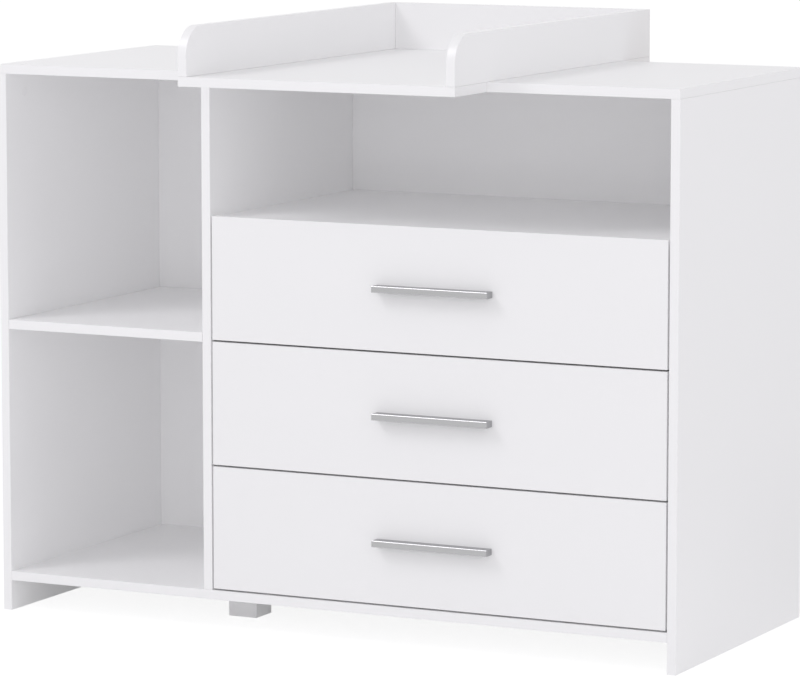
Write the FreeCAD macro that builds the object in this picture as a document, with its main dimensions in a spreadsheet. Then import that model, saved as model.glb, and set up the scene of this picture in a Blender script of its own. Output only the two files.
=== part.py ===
import FreeCAD, Part
import math
import os
import re
import Sketcher

# Changing dresser: an open column of two compartments beside a niche over three drawers, with a
# lift-off changing tray on its top. Millimetres. +X is to the right, +Y to the back and +Z up, and
# the origin is on the floor under the middle of the cabinet.

DRAWERS = ("bottom", "middle", "top")
# Fittings and pegs are many and small, so each is a prism of few sides, as is the hole that it fills.
FITTING_SIDES = 16
PEG_SIDES = 8
# Points closer than this are one point.
NEAR = 0.0001

# Driving sizes. Each can be set by itself.
SIZES = {
    # Carcass boards
    "cabinet_width": 1250.0,
    "cabinet_depth": 540.0,
    "cabinet_height": 937.0,
    "board": 16.0,
    "floor_clearance": 52.0,
    "left_bay_width": 376.0,
    # Back sheets, in grooves, and the strip that joins them behind the divider
    "back_thickness": 3.0,
    "back_setback": 14.0,
    "groove_depth": 8.0,
    "groove_play": 0.2,
    "sheet_end_play": 0.8,
    "strip_wall": 0.8,
    "strip_web": 1.2,
    "strip_inset": 0.5,
    # Shelves
    "shelf_side_play": 0.4,
    "shelf_back_play": 0.5,
    "front_lip": 2.5,
    "niche_shelf_setback": 2.0,
    "pin_diameter": 5.0,
    "pin_depth": 10.0,
    "pin_reach": 9.0,
    "pin_inset": 60.0,
    # Cam fittings and dowels
    "cam_diameter": 15.0,
    "cam_depth": 12.5,
    "cam_reach": 34.0,
    "cam_slot_width": 1.6,
    "cam_slot_length": 9.0,
    "cam_slot_depth": 2.0,
    "cover_thickness": 1.2,
    "bolt_diameter": 6.0,
    "bolt_thread": 11.0,
    "dowel_diameter": 8.0,
    "dowel_length": 30.0,
    "dowel_face_depth": 11.0,
    "fitting_inset": 60.0,
    "dowel_pitch": 32.0,
    "fit_play": 0.1,
    "hole_end_play": 0.5,
    # Centre feet
    "foot_width": 54.0,
    "foot_inset": 122.0,
    "foot_wall": 4.0,
    "foot_plate": 5.0,
    # Drawers
    "front_gap": 3.0,
    "front_height": 207.0,
    "front_board": 16.0,
    "drawer_board": 16.0,
    "drawer_box_height": 150.0,
    "drawer_box_rise": 20.0,
    "bottom_thickness": 3.0,
    "bottom_rise": 10.0,
    "bottom_groove_depth": 6.0,
    "drawer_low_dowel_rise": 35.0,
    "drawer_high_dowel_rise": 115.0,
    "drawer_cam_rise": 125.0,
    # Telescopic slides
    "slide_length": 450.0,
    "slide_setback": 2.0,
    "slide_width": 12.7,
    "slide_height": 45.0,
    "slide_metal": 1.2,
    "slide_play": 0.4,
    "slide_race": 2.0,
    "slide_lip": 2.0,
    # Handles
    "handle_length": 208.0,
    "handle_height": 10.5,
    "handle_reach": 21.0,
    "handle_lip": 3.5,
    "handle_plate": 2.5,
    "handle_leg": 16.0,
    "handle_chamfer": 1.2,
    "screw_diameter": 4.0,
    "screw_bite": 8.0,
    "screw_head_diameter": 8.5,
    "screw_head_height": 2.8,
    # Changing tray
    "tray_width": 500.0,
    "tray_shift": 40.0,
    "tray_overhang": 120.0,
    "tray_board": 16.0,
    "tray_side_height": 82.0,
    "tray_corner_radius": 50.0,
    "tray_play": 0.3,
    "tray_dowel_inset": 28.0,
    "tray_back_dowel_rise": 25.0,
    "tray_back_dowel_spacing": 34.0,
    # How far a cutting tool runs past a face
    "overrun": 5.0,
}

# Places worked out from the sizes.
PLACES = {
    "left_outer": "-cabinet_width / 2",
    "right_outer": "cabinet_width / 2",
    "left_inner": "left_outer + board",
    "right_inner": "right_outer - board",
    "divider_left": "left_inner + left_bay_width",
    "divider_right": "divider_left + board",
    "divider_middle": "divider_left + board / 2",
    "bay_middle": "(divider_right + right_inner) / 2",
    "carcass_front": "-cabinet_depth / 2",
    "carcass_rear": "cabinet_depth / 2",
    "back_rear": "carcass_rear - back_setback",
    "back_front": "back_rear - back_thickness",
    "divider_rear": "back_front - groove_play - strip_wall",
    "floor_top": "floor_clearance + board",
    "top_under": "cabinet_height - board",
    "stack_bottom": "floor_top + front_gap",
    "stack_top": f"stack_bottom + {len(DRAWERS)} * (front_height + front_gap) - front_gap",
    "front_rear": "carcass_front + front_board",
    "niche_top": "stack_top - front_lip",
    "niche_under": "niche_top - board",
    "niche_front": "front_rear + niche_shelf_setback",
    "shelf_under": "(floor_top + top_under - board) / 2",
    "front_fitting_row": "carcass_front + fitting_inset",
    "rear_fitting_row": "divider_rear - fitting_inset",
    "box_left": "divider_right + slide_width",
    "box_right": "right_inner - slide_width",
    "box_rear": "front_rear + slide_setback + slide_length",
    "tray_left": "tray_shift - tray_width / 2",
    "tray_right": "tray_shift + tray_width / 2",
    "tray_front": "carcass_front - tray_overhang",
    "tray_rear": "carcass_rear + tray_overhang",
}

# Levels of the slide's section: u from the cabinet wall, v up from the slide's middle line.
PLACES.update({
    "outer_web": "slide_metal",
    "middle_web_near": "slide_metal + slide_play",
    "middle_web_far": "middle_web_near + slide_metal",
    "hook_near": "middle_web_far + slide_play",
    "hook_far": "hook_near + slide_metal",
    "middle_lip_near": "hook_far + slide_play + slide_race",
    "middle_lip_far": "middle_lip_near + slide_metal",
    "outer_lip_near": "middle_lip_far + slide_play",
    "outer_lip_far": "outer_lip_near + slide_metal",
    "inner_web": "slide_width - slide_metal",
    "outer_flange": "slide_height / 2",
    "outer_flange_inside": "outer_flange - slide_metal",
    "middle_flange": "outer_flange_inside - slide_play",
    "middle_flange_inside": "middle_flange - slide_metal",
    "outer_mouth": "middle_flange - slide_lip",
    "hook_edge": "middle_flange_inside - slide_play",
    "middle_mouth": "hook_edge - slide_lip",
    "neck": "middle_mouth - slide_play",
    "neck_inside": "neck - slide_metal",
})

# A rod stands along +Z until it is turned.
TURNS = {
    "x": FreeCAD.Rotation(FreeCAD.Vector(0, 1, 0), 90),
    "y": FreeCAD.Rotation(FreeCAD.Vector(1, 0, 0), -90),
    "z": FreeCAD.Rotation(),
}

doc = FreeCAD.newDocument("ChangingDresser")
sheet = doc.addObject("Spreadsheet::Sheet", "Sizes")
for row, (size_name, size_value) in enumerate(SIZES.items(), start=1):
    sheet.set(f"A{row}", size_name)
    sheet.set(f"B{row}", str(size_value))
    sheet.setAlias(f"B{row}", size_name)
doc.recompute()

nodes = []
groups = {}
holes = {}


def formula(text):
    """Writes a formula in the words of SIZES and PLACES as an expression on the sheet's cells."""

    def written_out(match):
        word = match.group()
        if word in PLACES:
            return f"({formula(PLACES[word])})"
        if word not in SIZES:
            raise KeyError(f"no size or place is named {word}")
        return f"Sizes.{word}"

    return re.sub("[a-z_]+", written_out, text)


def place(thing, x, y, z):
    """Ties a thing's place to three formulas."""
    for axis, text in zip("xyz", (x, y, z)):
        thing.setExpression(f"Placement.Base.{axis}", formula(text))


def block(label, x, y, z):
    """A box between (low, high) formulas along X, Y and Z."""
    thing = doc.addObject("Part::Box", label)
    place(thing, x[0], y[0], z[0])
    for size, (low, high) in zip(("Length", "Width", "Height"), (x, y, z)):
        thing.setExpression(size, formula(f"{high} - ({low})"))
    return thing


def rod(label, axis, x, y, z, diameter, sides):
    """A many-sided rod along one axis, where that axis has a (low, high) pair of formulas."""
    spans = {"x": x, "y": y, "z": z}
    low, high = spans[axis]
    thing = doc.addObject("Part::Prism", label)
    thing.Polygon = sides
    thing.Placement = FreeCAD.Placement(FreeCAD.Vector(), TURNS[axis])
    place(thing, *(low if name == axis else spans[name] for name in "xyz"))
    thing.setExpression("Height", formula(f"{high} - ({low})"))
    thing.setExpression("Circumradius", formula(f"({diameter}) / 2"))
    return thing


def span(face, way, behind, ahead):
    """The (low, high) of a rod that runs through a face, ahead along way and behind against it."""
    if way > 0:
        return f"{face} - ({behind})", f"{face} + {ahead}"
    return f"{face} - ({ahead})", f"{face} + {behind}"


def joined(label, tools):
    """One object of several, which may cross each other."""
    if len(tools) == 1:
        return tools[0]
    thing = doc.addObject("Part::MultiFuse", label)
    thing.Shapes = tools
    return thing


def cut(label, blank, tools):
    """A blank with the tools cut away."""
    thing = doc.addObject("Part::Cut", label)
    thing.Base = blank
    thing.Tool = joined(f"{label}_cuts", tools)
    return thing


def keep(thing):
    """Counts a finished object as a sub-part; its label names its file."""
    nodes.append(thing)
    return thing


def keep_board(label, x, y, z, cuts=()):
    """A sub-part sawn from board, with its grooves and the holes that its fittings need."""
    tools = list(cuts) + holes.get(label, [])
    if not tools:
        return keep(block(label, x, y, z))
    return keep(cut(label, block(f"{label}_blank", x, y, z), tools))


def keep_group(label, members):
    """A sub-part of several like solids."""
    thing = doc.addObject("Part::Compound", label)
    thing.Links = members
    return keep(thing)


def fit(group, boards, axis, x, y, z, diameter, sides=PEG_SIDES):
    """Adds a rod to a group, with a hole for it in each of the boards that it enters."""
    members = groups.setdefault(group, [])
    number = len(members) + 1
    members.append(rod(f"{group}_{number}", axis, x, y, z, diameter, sides))
    spans = {"x": x, "y": y, "z": z}
    low, high = spans[axis]
    spans[axis] = (f"{low} - hole_end_play", f"{high} + hole_end_play")
    hole = rod(f"{group}_hole_{number}", axis, *spans.values(), f"{diameter} + 2 * fit_play", sides)
    for name in boards:
        holes.setdefault(name, []).append(hole)


def cam(group, board, axis, face, way, x, y, z, covered):
    """A slotted cam sunk into a board's face; way points into the board. A cover closes it flush."""
    members = groups.setdefault(group, [])
    number = len(members) + 1
    top = "cover_thickness" if covered else "0"
    across = "cam_diameter - 2 * fit_play"
    spans = {"x": x, "y": y, "z": z}
    slot = {name: (f"{middle} - cam_slot_width / 2", f"{middle} + cam_slot_width / 2")
            for name, middle in spans.items() if name != axis}
    slot["y"] = (f"{y} - cam_slot_length / 2", f"{y} + cam_slot_length / 2")
    slot[axis] = span(face, way, "overrun", f"{top} + cam_slot_depth")
    spans[axis] = span(face, way, f"0 - {top}", "cam_depth - hole_end_play")
    body = rod(f"{group}_body_{number}", axis, *spans.values(), across, FITTING_SIDES)
    driver_slot = block(f"{group}_slot_{number}", *(slot[name] for name in "xyz"))
    members.append(cut(f"{group}_{number}", body, [driver_slot]))
    spans[axis] = span(face, way, "overrun", "cam_depth")
    hole = rod(f"{group}_hole_{number}", axis, *spans.values(), "cam_diameter", FITTING_SIDES)
    holes.setdefault(board, []).append(hole)
    if covered:
        covers = groups.setdefault("cam_covers", [])
        spans[axis] = span(face, way, "0", "cover_thickness")
        covers.append(rod(f"cam_covers_{len(covers) + 1}", axis, *spans.values(), across, FITTING_SIDES))


def plane_of(body, role):
    """One of a body's own origin planes."""
    return next(feature for feature in body.Origin.OriginFeatures if feature.Role == role)


def outline(body, role, points):
    """A sketch on an origin plane: straight runs through points, each a pair of formulas."""
    sketch = body.newObject("Sketcher::SketchObject", f"{body.Label}_outline")
    sketch.AttachmentSupport = [(plane_of(body, role), "")]
    sketch.MapMode = "FlatFace"
    count = len(points)
    turn = 2 * math.pi / count
    start = [FreeCAD.Vector(math.cos(turn * n), math.sin(turn * n), 0) for n in range(count)]
    sketch.addGeometry([Part.LineSegment(start[n], start[(n + 1) % count]) for n in range(count)])
    sketch.addConstraint([Sketcher.Constraint("Coincident", n, 2, (n + 1) % count, 1) for n in range(count)])
    for n, pair in enumerate(points):
        for kind, value, text in zip(("DistanceX", "DistanceY"), (start[n].x, start[n].y), pair):
            number = sketch.addConstraint(Sketcher.Constraint(kind, -1, 1, n, 1, value))
            sketch.setExpression(f"Constraints[{number}]", formula(text))
    return sketch


def padded(label, role, points, length):
    """A body made by padding an outline on one of its origin planes."""
    body = doc.addObject("PartDesign::Body", label)
    sketch = outline(body, role, points)
    pad = body.newObject("PartDesign::Pad", f"{label}_pad")
    pad.Profile = sketch
    pad.setExpression("Length", formula(length))
    doc.recompute()
    return body


def rectangle(x, y):
    """The four corners between (low, high) formulas."""
    return [(x[0], y[0]), (x[1], y[0]), (x[1], y[1]), (x[0], y[1])]


def mirrored(label, thing, middle):
    """A thing's mirror image across an upright plane at a place along X."""
    twin = doc.addObject("Part::Mirroring", label)
    twin.Source = thing
    twin.Normal = FreeCAD.Vector(1, 0, 0)
    twin.setExpression("Base.x", formula(middle))
    return twin


def edges_at(body, *sides):
    """The names of the edges that lie on the given sides of a body's bounding box, such as YMin."""
    shape = body.Tip.Shape
    names = []
    for number, edge in enumerate(shape.Edges, start=1):
        corners = [(getattr(vertex, side[0]), getattr(shape.BoundBox, side))
                   for vertex in edge.Vertexes for side in sides]
        if all(math.isclose(place_of, limit, abs_tol=NEAR) for place_of, limit in corners):
            names.append(f"Edge{number}")
    return names


# Joinery of the carcass

def join_board_end(panel, wall_board, wall, way, under):
    """Cams on a level board's underside, and bolts and dowels into the wall at its end."""
    level = f"{under} + board / 2"
    cam_place = f"{wall} {'+' if way > 0 else '-'} cam_reach"
    for row, inward in (("front_fitting_row", "+"), ("rear_fitting_row", "-")):
        cam("carcass_cams", panel, "z", under, 1, cam_place, row, None, False)
        bolt = span(wall, way, "bolt_thread", "cam_reach - cam_diameter / 2 - fit_play")
        fit("carcass_cam_bolts", (panel, wall_board), "x", bolt, row, level, "bolt_diameter")
        dowel = span(wall, way, "dowel_face_depth", "dowel_length - dowel_face_depth")
        dowel_row = f"{row} {inward} dowel_pitch"
        fit("carcass_dowels", (panel, wall_board), "x", dowel, dowel_row, level, "dowel_diameter")


def join_board_edge(upright, face, inward_way, middle, panel, edge, way):
    """Covered cams in an upright board's face, and bolts and dowels into the level board beyond its edge."""
    for row, inward in (("front_fitting_row", "+"), ("rear_fitting_row", "-")):
        height = f"{edge} {'-' if way > 0 else '+'} cam_reach"
        cam("carcass_cams", upright, "x", face, inward_way, None, row, height, True)
        bolt = span(edge, -way, "bolt_thread", "cam_reach - cam_diameter / 2 - fit_play")
        fit("carcass_cam_bolts", (upright, panel), "z", middle, row, bolt, "bolt_diameter")
        dowel = span(edge, -way, "dowel_face_depth", "dowel_length - dowel_face_depth")
        dowel_row = f"{row} {inward} dowel_pitch"
        fit("carcass_dowels", (upright, panel), "z", middle, dowel_row, dowel, "dowel_diameter")


def build_joinery():
    """Every cam, bolt, dowel and shelf pin of the carcass, and their holes."""
    join_board_end("bottom_panel", "left_side_panel", "left_inner", 1, "floor_clearance")
    join_board_end("bottom_panel", "right_side_panel", "right_inner", -1, "floor_clearance")
    join_board_end("niche_shelf", "divider_panel", "divider_right", 1, "niche_under")
    join_board_end("niche_shelf", "right_side_panel", "right_inner", -1, "niche_under")
    uprights = (
        ("left_side_panel", "left_inner", -1, "left_inner - board / 2"),
        ("right_side_panel", "right_inner", 1, "right_inner + board / 2"),
        ("divider_panel", "divider_left", 1, "divider_middle"),
    )
    for upright, face, inward_way, middle in uprights:
        join_board_edge(upright, face, inward_way, middle, "top_panel", "top_under", 1)
    join_board_edge("divider_panel", "divider_left", 1, "divider_middle", "bottom_panel", "floor_top", -1)
    pin_level = "shelf_under - pin_diameter / 2 - fit_play"
    pinned = (("left_side_panel", "left_inner", 1), ("divider_panel", "divider_left", -1))
    for wall_board, wall, way in pinned:
        for row in ("carcass_front + pin_inset", "divider_rear - pin_inset"):
            reach = span(wall, way, "pin_depth", "pin_reach")
            fit("shelf_pins", (wall_board,), "x", reach, row, pin_level, "pin_diameter", FITTING_SIDES)


# Carcass boards and back

def back_groove(label, x, z):
    """The groove that holds an edge of the back sheets."""
    return block(label, x, ("back_front - groove_play", "back_rear + groove_play"), z)


def build_carcass():
    """The boards of the cabinet, its shelves and its back."""
    deep = ("carcass_front", "carcass_rear")
    upright = ("floor_top - groove_depth", "top_under + overrun")
    groove = back_groove("left_groove", ("left_inner - groove_depth", "left_inner + overrun"), upright)
    keep_board("left_side_panel", ("left_outer", "left_inner"), deep, ("0", "top_under"), [groove])
    groove = back_groove("right_groove", ("right_inner - overrun", "right_inner + groove_depth"), upright)
    keep_board("right_side_panel", ("right_inner", "right_outer"), deep, ("0", "top_under"), [groove])
    inside = ("left_inner - groove_depth", "right_inner + groove_depth")
    groove = back_groove("top_groove", inside, ("top_under - overrun", "top_under + groove_depth"))
    keep_board("top_panel", ("left_outer", "right_outer"), deep, ("top_under", "cabinet_height"), [groove])
    past = ("left_inner - overrun", "right_inner + overrun")
    groove = back_groove("bottom_groove", past, ("floor_top - groove_depth", "floor_top + overrun"))
    keep_board("bottom_panel", ("left_inner", "right_inner"), deep,
               ("floor_clearance", "floor_top"), [groove])
    keep_board("divider_panel", ("divider_left", "divider_right"), ("carcass_front", "divider_rear"),
               ("floor_top", "top_under"))
    keep_board("left_shelf", ("left_inner + shelf_side_play", "divider_left - shelf_side_play"),
               ("carcass_front", "back_front - shelf_back_play"), ("shelf_under", "shelf_under + board"))
    keep_board("niche_shelf", ("divider_right", "right_inner"),
               ("niche_front", "back_front - shelf_back_play"), ("niche_under", "niche_top"))
    build_back()


def build_back():
    """Two thin sheets in the grooves, joined behind the divider by a strip of H section."""
    deep = ("back_front", "back_rear")
    sunk = "(groove_depth - sheet_end_play)"
    high = (f"floor_top - {sunk}", f"top_under + {sunk}")
    seam = "(strip_web / 2 + sheet_end_play)"
    keep_board("back_panel_left", (f"left_inner - {sunk}", f"divider_middle - {seam}"), deep, high)
    keep_board("back_panel_right", (f"divider_middle + {seam}", f"right_inner + {sunk}"), deep, high)
    edge = "board / 2 - strip_inset"
    near = "back_front - groove_play"
    far = "back_rear + groove_play"
    right = [(edge, f"{near} - strip_wall"), (edge, near), ("strip_web / 2", near),
             ("strip_web / 2", far), (edge, far), (edge, f"{far} + strip_wall")]
    left = [(f"0 - ({across})", back) for across, back in right[::-1]]
    strip = padded("back_joining_strip", "XY_Plane", right + left, "top_under - floor_top")
    place(strip, "divider_middle", "0", "floor_top")
    keep(strip)


def build_feet():
    """Two hollow square feet under the divider, open below."""
    half = "foot_width / 2"
    hollow = "(foot_width / 2 - foot_wall)"
    middles = {"front": f"carcass_front + foot_inset + {half}", "rear": f"carcass_rear - foot_inset - {half}"}
    for name, middle in middles.items():
        sides = (f"0 - {half}", half)
        foot = padded(f"{name}_centre_foot", "XY_Plane", rectangle(sides, sides), "floor_clearance")
        inside = (f"0 - {hollow}", hollow)
        pocket = foot.newObject("PartDesign::Pocket", f"{foot.Label}_hollow")
        pocket.Profile = outline(foot, "XY_Plane", rectangle(inside, inside))
        pocket.Reversed = True
        pocket.setExpression("Length", formula("floor_clearance - foot_plate"))
        place(foot, "divider_middle", middle, "0")
        keep(foot)


# Drawers

def slide_member(label, points, low):
    """One member of a drawer's left slide: its section run along the slide's length."""
    member = padded(label, "XZ_Plane", points, "slide_length")
    place(member, "divider_right", "front_rear + slide_setback + slide_length",
          f"{low} + drawer_box_rise + drawer_box_height / 2")
    return member


def both_halves(upper):
    """A closed section from its upper half, mirrored about the slide's middle line."""
    return upper + [(across, f"0 - {up}") for across, up in upper[::-1]]


def build_slides(name, low):
    """A pair of telescopic slides: nested channels whose lips hold each other."""
    sections = {
        "cabinet_rails": [("outer_web", "outer_flange_inside"), ("outer_lip_near", "outer_flange_inside"),
                          ("outer_lip_near", "outer_mouth"), ("outer_lip_far", "outer_mouth"),
                          ("outer_lip_far", "outer_flange"), ("0", "outer_flange")],
        "telescope_rails": [("middle_web_far", "middle_flange_inside"),
                            ("middle_lip_near", "middle_flange_inside"),
                            ("middle_lip_near", "middle_mouth"), ("middle_lip_far", "middle_mouth"),
                            ("middle_lip_far", "middle_flange"), ("middle_web_near", "middle_flange")],
        "drawer_rails": [("inner_web", "neck_inside"), ("hook_near", "neck_inside"),
                         ("hook_near", "hook_edge"), ("hook_far", "hook_edge"),
                         ("hook_far", "neck"), ("slide_width", "neck")],
    }
    for rails, upper in sections.items():
        left = slide_member(f"{name}_{rails}_left", both_halves(upper), low)
        right = mirrored(f"{name}_{rails}_right", left, "bay_middle")
        keep_group(f"{name}_{rails}", [left, right])


def build_handle(name, low):
    """A squared pull, open below for the fingers, with bevelled front edges and a screw in each leg."""
    label = f"{name}_drawer_handle"
    end = "handle_length / 2"
    leg = "(handle_length / 2 - handle_leg)"
    bar = padded(f"{label}_bar", "XY_Plane", rectangle((f"0 - {end}", end), ("0 - handle_reach", "0")),
                 "handle_height")
    hollow = rectangle((f"0 - {leg}", leg), ("handle_lip - handle_reach", "overrun"))
    pocket = bar.newObject("PartDesign::Pocket", f"{label}_finger_hollow")
    pocket.Profile = outline(bar, "XY_Plane", hollow)
    pocket.Reversed = True
    pocket.setExpression("Length", formula("handle_height - handle_plate"))
    doc.recompute()
    front_edges = edges_at(bar, "YMin")
    bevel = bar.newObject("PartDesign::Chamfer", f"{label}_bevel")
    bevel.Base = (bevel.BaseFeature, front_edges)
    bevel.setExpression("Size", formula("handle_chamfer"))
    bar.Tip = bevel
    middle = f"({low} + front_height / 2)"
    place(bar, "bay_middle", "carcass_front", f"{middle} - handle_height / 2")
    return bar


def build_drawer(name, low):
    """A drawer: its box, front, handle, fittings and slides. low is the front's lower edge."""
    drawer = f"{name}_drawer"
    box_low = f"({low} + drawer_box_rise)"
    high = (box_low, f"{box_low} + drawer_box_height")
    left = ("box_left", "box_left + drawer_board")
    right = ("box_right - drawer_board", "box_right")
    inside = (left[1], right[0])
    back = ("box_rear - drawer_board", "box_rear")
    for side, faces, way in (("left", left, 1), ("right", right, -1)):
        join_drawer_side(drawer, side, faces, way, box_low)
    middle = f"({low} + front_height / 2)"
    screw_spread = "(handle_length - handle_leg) / 2"
    for across in (f"bay_middle - {screw_spread}", f"bay_middle + {screw_spread}"):
        fit(f"{drawer}_handle_screws", (f"{drawer}_front", f"{drawer}_handle"), "y", across,
            ("carcass_front - screw_bite", "front_rear"), middle, "screw_diameter")

    groove_low = f"{box_low} + bottom_rise"
    groove_high = (f"{groove_low} - groove_play", f"{groove_low} + bottom_thickness + groove_play")
    groove_across = (f"{inside[0]} - bottom_groove_depth", f"{inside[1]} + bottom_groove_depth")
    groove_along = ("front_rear - bottom_groove_depth", f"{back[0]} + bottom_groove_depth")
    groove = block(f"{drawer}_groove", groove_across, groove_along, groove_high)
    front_across = ("divider_right + front_gap", "right_inner - front_gap")
    front_high = (low, f"{low} + front_height")
    keep_board(f"{drawer}_front", front_across, ("carcass_front", "front_rear"), front_high, [groove])
    for side, faces in (("left", left), ("right", right)):
        keep_board(f"{drawer}_{side}_side", faces, ("front_rear", "box_rear"), high, [groove])
    keep_board(f"{drawer}_back", inside, back, high, [groove])
    sunk = "(bottom_groove_depth - sheet_end_play)"
    keep_board(f"{drawer}_bottom", (f"{inside[0]} - {sunk}", f"{inside[1]} + {sunk}"),
               (f"front_rear - {sunk}", f"{back[0]} + {sunk}"),
               (groove_low, f"{groove_low} + bottom_thickness"))
    keep(cut(f"{drawer}_handle", build_handle(name, low), holes[f"{drawer}_handle"]))
    keep_group(f"{drawer}_cam_fittings", groups[f"{drawer}_cams"] + groups[f"{drawer}_cam_bolts"])
    keep_group(f"{drawer}_dowels", groups[f"{drawer}_dowels"])
    keep_screws(drawer, middle)
    build_slides(name, low)


def join_drawer_side(drawer, side, faces, way, box_low):
    """The cam, bolt and dowels that hold a drawer's side to its front and back."""
    side_board = f"{drawer}_{side}_side"
    middle = f"({faces[0]} + {faces[1]}) / 2"
    outer = faces[0] if way > 0 else faces[1]
    inner = faces[1] if way > 0 else faces[0]
    cam_level = f"{box_low} + drawer_cam_rise"
    cam(f"{drawer}_cams", side_board, "x", outer, way, None, "front_rear + cam_reach", cam_level, False)
    bolt = span("front_rear", 1, "bolt_thread", "cam_reach - cam_diameter / 2 - fit_play")
    fit(f"{drawer}_cam_bolts", (f"{drawer}_front", side_board), "y", middle, bolt, cam_level,
        "bolt_diameter")
    low_level = f"{box_low} + drawer_low_dowel_rise"
    dowel = span("front_rear", 1, "dowel_face_depth", "dowel_length - dowel_face_depth")
    fit(f"{drawer}_dowels", (f"{drawer}_front", side_board), "y", middle, dowel, low_level,
        "dowel_diameter")
    dowel = span(inner, way, "dowel_face_depth", "dowel_length - dowel_face_depth")
    for level in (low_level, f"{box_low} + drawer_high_dowel_rise"):
        fit(f"{drawer}_dowels", (f"{drawer}_back", side_board), "x", dowel,
            "box_rear - drawer_board / 2", level, "dowel_diameter")


def keep_screws(drawer, middle):
    """The handle's screws, with round heads against the back of the drawer front."""
    screws = []
    for number, shank in enumerate(groups[f"{drawer}_handle_screws"], start=1):
        head = rod(f"{drawer}_screw_head_{number}", "y", "0",
                   ("front_rear", "front_rear + screw_head_height"), middle,
                   "screw_head_diameter", FITTING_SIDES)
        head.setExpression("Placement.Base.x", f"{shank.Name}.Placement.Base.x")
        screws.append(joined(f"{drawer}_screw_{number}", [shank, head]))
    keep_group(f"{drawer}_handle_screws", screws)


# Changing tray

def tray_side(label, left):
    """A side board of the tray, its upper front corner rounded."""
    side = padded(label, "YZ_Plane", rectangle(
        ("tray_front", "tray_rear"), ("cabinet_height", "cabinet_height + tray_side_height")), "tray_board")
    corner = edges_at(side, "YMin", "ZMax")
    rounding = side.newObject("PartDesign::Fillet", f"{label}_rounding")
    rounding.Base = (rounding.BaseFeature, corner)
    rounding.setExpression("Radius", formula("tray_corner_radius"))
    side.Tip = rounding
    place(side, left, "0", "0")
    return side


def build_tray():
    """Two sides and a back on a front and a rear board, which stand level with the cabinet's top."""
    sides = {
        "left": ("tray_left", "tray_left + tray_board", 1),
        "right": ("tray_right - tray_board", "tray_right", -1),
    }
    boards = {
        "front": ("tray_front", "carcass_front - tray_play"),
        "rear": ("carcass_rear + tray_play", "tray_rear"),
    }
    back = ("tray_rear - tray_board", "tray_rear")
    for side, (low, high, way) in sides.items():
        middle = f"({low} + {high}) / 2"
        for name, (near, far) in boards.items():
            for row in (f"{near} + tray_dowel_inset", f"{far} - tray_dowel_inset"):
                dowel = span("cabinet_height", 1, "dowel_face_depth", "dowel_length - dowel_face_depth")
                fit("tray_dowels", (f"tray_{side}_side", f"tray_{name}_board"), "z", middle, row, dowel,
                    "dowel_diameter")
        dowel = span(high if way > 0 else low, way, "dowel_face_depth", "dowel_length - dowel_face_depth")
        first = "cabinet_height + tray_back_dowel_rise"
        for level in (first, f"{first} + tray_back_dowel_spacing"):
            fit("tray_dowels", (f"tray_{side}_side", "tray_back"), "x", dowel,
                "tray_rear - tray_board / 2", level, "dowel_diameter")
    for side, (low, high, way) in sides.items():
        label = f"tray_{side}_side"
        keep(cut(label, tray_side(f"{label}_blank", low), holes[label]))
    keep_board("tray_back", ("tray_left + tray_board", "tray_right - tray_board"), back,
               ("cabinet_height", "cabinet_height + tray_side_height"))
    for name, (near, far) in boards.items():
        keep_board(f"tray_{name}_board", ("tray_left", "tray_right"), (near, far),
                   ("top_under", "cabinet_height"))
    keep_group("tray_dowels", groups["tray_dowels"])


def check_and_write():
    """Stops at any object that failed, then writes each sub-part."""
    doc.recompute()
    for thing in doc.Objects:
        if {"Invalid", "Error"} & set(thing.State):
            raise RuntimeError(f"{thing.Label} failed: {thing.State}")
    for node in nodes:
        if node.Shape.isNull() or not node.Shape.isValid() or not node.Shape.Solids:
            raise RuntimeError(f"{node.Label} has no sound shape")
    os.makedirs("parts", exist_ok=True)
    for node in nodes:
        node.Shape.exportStep(f"parts/{node.Label}.step")
    print(f"{len(nodes)} sub-parts written")


build_joinery()
build_carcass()
build_feet()
for label in ("carcass_cams", "carcass_cam_bolts", "carcass_dowels", "cam_covers", "shelf_pins"):
    keep_group(label, groups[label])
for step, drawer_name in enumerate(DRAWERS):
    build_drawer(drawer_name, f"(stack_bottom + {step} * (front_height + front_gap))")
build_tray()
check_and_write()
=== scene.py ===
"""Dresses the changing dresser: melamine boards, satin handles, zinc slides and a lift-off tray.

All lengths are in metres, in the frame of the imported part: +X to the right, +Y to the back and +Z
up, with the origin on the floor under the middle of the cabinet.
"""
import logging
import math
from dataclasses import dataclass, field
from enum import Enum
from functools import cache
from typing import Protocol

import bmesh
import bpy
from mathutils import Matrix, Vector


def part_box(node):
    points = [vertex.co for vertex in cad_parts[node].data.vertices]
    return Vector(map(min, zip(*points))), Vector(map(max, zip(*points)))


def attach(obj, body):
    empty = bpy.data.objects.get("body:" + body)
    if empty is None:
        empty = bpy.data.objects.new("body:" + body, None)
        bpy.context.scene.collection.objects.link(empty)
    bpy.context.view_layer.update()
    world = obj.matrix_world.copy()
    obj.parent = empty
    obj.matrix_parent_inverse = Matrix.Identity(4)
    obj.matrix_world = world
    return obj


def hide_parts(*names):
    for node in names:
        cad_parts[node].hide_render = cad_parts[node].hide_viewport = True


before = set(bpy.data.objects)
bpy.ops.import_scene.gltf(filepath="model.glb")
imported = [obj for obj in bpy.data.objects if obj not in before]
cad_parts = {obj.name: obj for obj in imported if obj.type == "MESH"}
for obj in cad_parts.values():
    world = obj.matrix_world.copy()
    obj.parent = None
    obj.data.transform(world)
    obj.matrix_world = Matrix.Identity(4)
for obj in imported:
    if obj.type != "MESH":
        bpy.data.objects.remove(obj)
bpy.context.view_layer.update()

Colour = tuple[float, float, float, float]
Triple = tuple[float, float, float]
Rings = tuple[tuple[float, float], ...]
Loop = list[bmesh.types.BMVert]

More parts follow.
